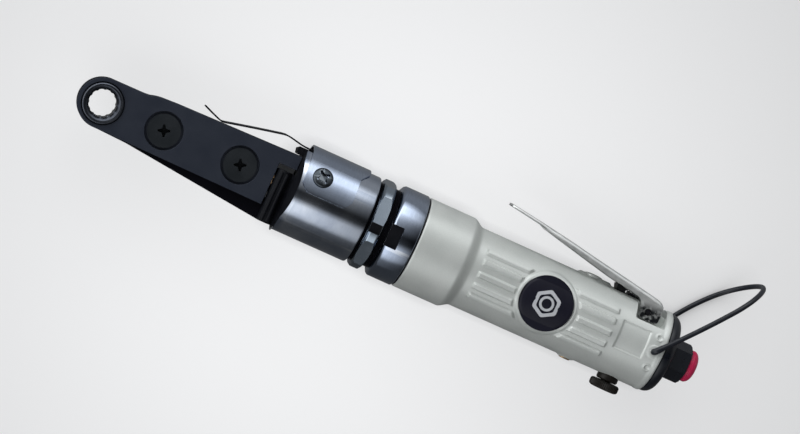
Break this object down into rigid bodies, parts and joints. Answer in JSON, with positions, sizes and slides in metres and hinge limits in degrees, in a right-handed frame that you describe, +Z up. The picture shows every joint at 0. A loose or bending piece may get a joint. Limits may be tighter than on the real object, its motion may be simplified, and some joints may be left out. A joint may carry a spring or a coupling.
{
  "type": "air ratchet",
  "caption": "Slim in-line air ratchet with a closed ring head, throttle lever, air regulator, hanging bail and plugged air inlet.",
  "frame": {"origin": "bottom centre of the whole tool's box, as it lies on its side on the clamp ring", "axes": "+X from the ring head along the tool to the air inlet, +Y to the throttle lever's side, +Z up, out of the face with the badge"},
  "size_m": [0.3046, 0.0698, 0.0412],
  "materials": {
    "black_steel": "matt blue-black oxide",
    "gloss_steel": "glossy blue-black, polished and blackened",
    "silver_paint": "fine metallic silver-grey paint on a casting",
    "zinc": "bright zinc plate",
    "ground_steel": "ground and oiled",
    "aluminium": "turned",
    "brass": "turned",
    "black_plastic": "moulded, satin",
    "badge_black": "glossy domed label",
    "phenolic": "laminated phenolic",
    "gasket_paper": "compressed fibre",
    "felt": "needled felt",
    "red_plastic": "moulded polyethylene, satin gloss",
    "black_wire": "plastic coated steel wire"
  },
  "bodies": {
    "body": {"head_plate_upper": "black_steel", "head_plate_lower": "black_steel", "head_frame": "black_steel", "front_post": "ground_steel", "rear_post": "ground_steel", "front_plate_screw_upper": "black_steel", "front_plate_screw_lower": "black_steel", "rear_plate_screw_upper": "black_steel", "rear_plate_screw_lower": "black_steel", "holding_pawl_pin": "ground_steel", "holding_pawl_spring": "zinc", "head_bracket": "black_steel", "leaf_spring": "black_steel", "front_housing": "gloss_steel", "saddle_cover": "gloss_steel", "saddle_screw_upper": "gloss_steel", "saddle_screw_lower": "gloss_steel", "crank_bearing": "ground_steel", "ring_gear": "ground_steel", "locknut": "gloss_steel", "clamp_ring": "gloss_steel", "handle_casting": "silver_paint", "badge": "badge_black", "front_end_plate": "aluminium", "rear_end_plate": "aluminium", "motor_cylinder": "ground_steel", "rear_gasket": "gasket_paper", "front_bearing": "ground_steel", "rear_bearing": "ground_steel", "lever_pin": "ground_steel", "valve_bush": "brass", "valve_spring": "zinc", "regulator_bush": "black_plastic", "end_cap": "black_plastic", "exhaust_muffler": "felt", "inlet_bushing": "black_steel", "inlet_screen": "brass"},
    "ring": {"ratchet_ring": "black_steel"},
    "rocker": {"rocker": "ground_steel", "drive_pawl_pin": "ground_steel", "drive_pawl_spring": "zinc"},
    "drive_pawl": {"drive_pawl": "ground_steel"},
    "holding_pawl": {"holding_pawl": "ground_steel"},
    "crank": {"crankshaft": "ground_steel", "crank_bushing": "brass"},
    "planet_1": {"planet_gear_1": "ground_steel"},
    "planet_2": {"planet_gear_2": "ground_steel"},
    "planet_3": {"planet_gear_3": "ground_steel"},
    "rotor": {"rotor": "ground_steel", "rotor_vane_1": "phenolic", "rotor_vane_2": "phenolic", "rotor_vane_3": "phenolic", "rotor_vane_4": "phenolic", "rotor_vane_5": "phenolic"},
    "lever": {"throttle_lever": "zinc"},
    "valve": {"throttle_button": "black_plastic", "throttle_valve": "brass"},
    "regulator": {"regulator_knob": "black_plastic"},
    "bail": {"hanging_bail": "black_wire"},
    "plug": {"inlet_plug": "red_plastic"}
  },
  "joints": [
    {"name": "rotor_spin", "type": "hinge", "parent": "body", "child": "rotor", "pos_m": [0.026, -0.01058, 0.0206], "axis": [1, 0, 0], "continuous": true},
    {"name": "crank_spin", "type": "hinge", "parent": "body", "child": "crank", "pos_m": [-0.039, -0.01058, 0.0206], "axis": [1, 0, 0], "continuous": true},
    {"name": "planet_spin_1", "type": "hinge", "parent": "crank", "child": "planet_1", "pos_m": [-0.025, -0.00218, 0.0206], "axis": [1, 0, 0], "continuous": true},
    {"name": "planet_spin_2", "type": "hinge", "parent": "crank", "child": "planet_2", "pos_m": [-0.025, -0.01478, 0.02788], "axis": [1, 0, 0], "continuous": true},
    {"name": "planet_spin_3", "type": "hinge", "parent": "crank", "child": "planet_3", "pos_m": [-0.025, -0.01478, 0.01333], "axis": [1, 0, 0], "continuous": true},
    {"name": "rocker_swing", "type": "hinge", "parent": "body", "child": "rocker", "pos_m": [-0.0782, -0.01058, 0.0206], "axis": [0, 0, 1], "range_deg": [-2.9, 2.9]},
    {"name": "drive_pawl_lift", "type": "hinge", "parent": "rocker", "child": "drive_pawl", "pos_m": [-0.1248, -0.00738, 0.0206], "axis": [0, 0, 1], "range_deg": [0, 10], "stiffness_Nm_per_rad": 0.002, "springref_deg": -11.46, "deforming": ["drive_pawl_spring"]},
    {"name": "holding_pawl_lift", "type": "hinge", "parent": "body", "child": "holding_pawl", "pos_m": [-0.1252, -0.01718, 0.0206], "axis": [0, 0, 1], "range_deg": [0, 7], "stiffness_Nm_per_rad": 0.002, "springref_deg": -11.46, "deforming": ["holding_pawl_spring"]},
    {"name": "ring_spin", "type": "hinge", "parent": "body", "child": "ring", "pos_m": [-0.1415, -0.01058, 0.0206], "axis": [0, 0, 1], "continuous": true},
    {"name": "lever_press", "type": "hinge", "parent": "body", "child": "lever", "pos_m": [0.1081, 0.00372, 0.0206], "axis": [0, 0, 1], "range_deg": [0, 9.2], "stiffness_Nm_per_rad": 0.25, "springref_deg": -5.73},
    {"name": "valve_open", "type": "slide", "parent": "body", "child": "valve", "axis": [0, -1, 0], "range_m": [0, 0.0027], "deforming": ["valve_spring"]},
    {"name": "regulator_turn", "type": "hinge", "parent": "body", "child": "regulator", "pos_m": [0.1055, -0.03158, 0.0206], "axis": [0, 1, 0], "range_deg": [-90, 90]},
    {"name": "bail_swing", "type": "hinge", "parent": "body", "child": "bail", "pos_m": [0.1153, -0.01058, 0.0206], "axis": [0, 0, 1], "range_deg": [-140, 70]},
    {"name": "plug_pull", "type": "slide", "parent": "body", "child": "plug", "axis": [1, 0, 0], "range_m": [0, 0.012]}
  ],
  "couplings": [
    {"joint": "crank_spin", "follows": "rotor_spin", "ratio": 0.25},
    {"joint": "planet_spin_1", "follows": "rotor_spin", "ratio": -0.75},
    {"joint": "planet_spin_2", "follows": "rotor_spin", "ratio": -0.75},
    {"joint": "planet_spin_3", "follows": "rotor_spin", "ratio": -0.75},
    {"joint": "valve_open", "follows": "lever_press", "m_per_rad": 0.0162}
  ]
}
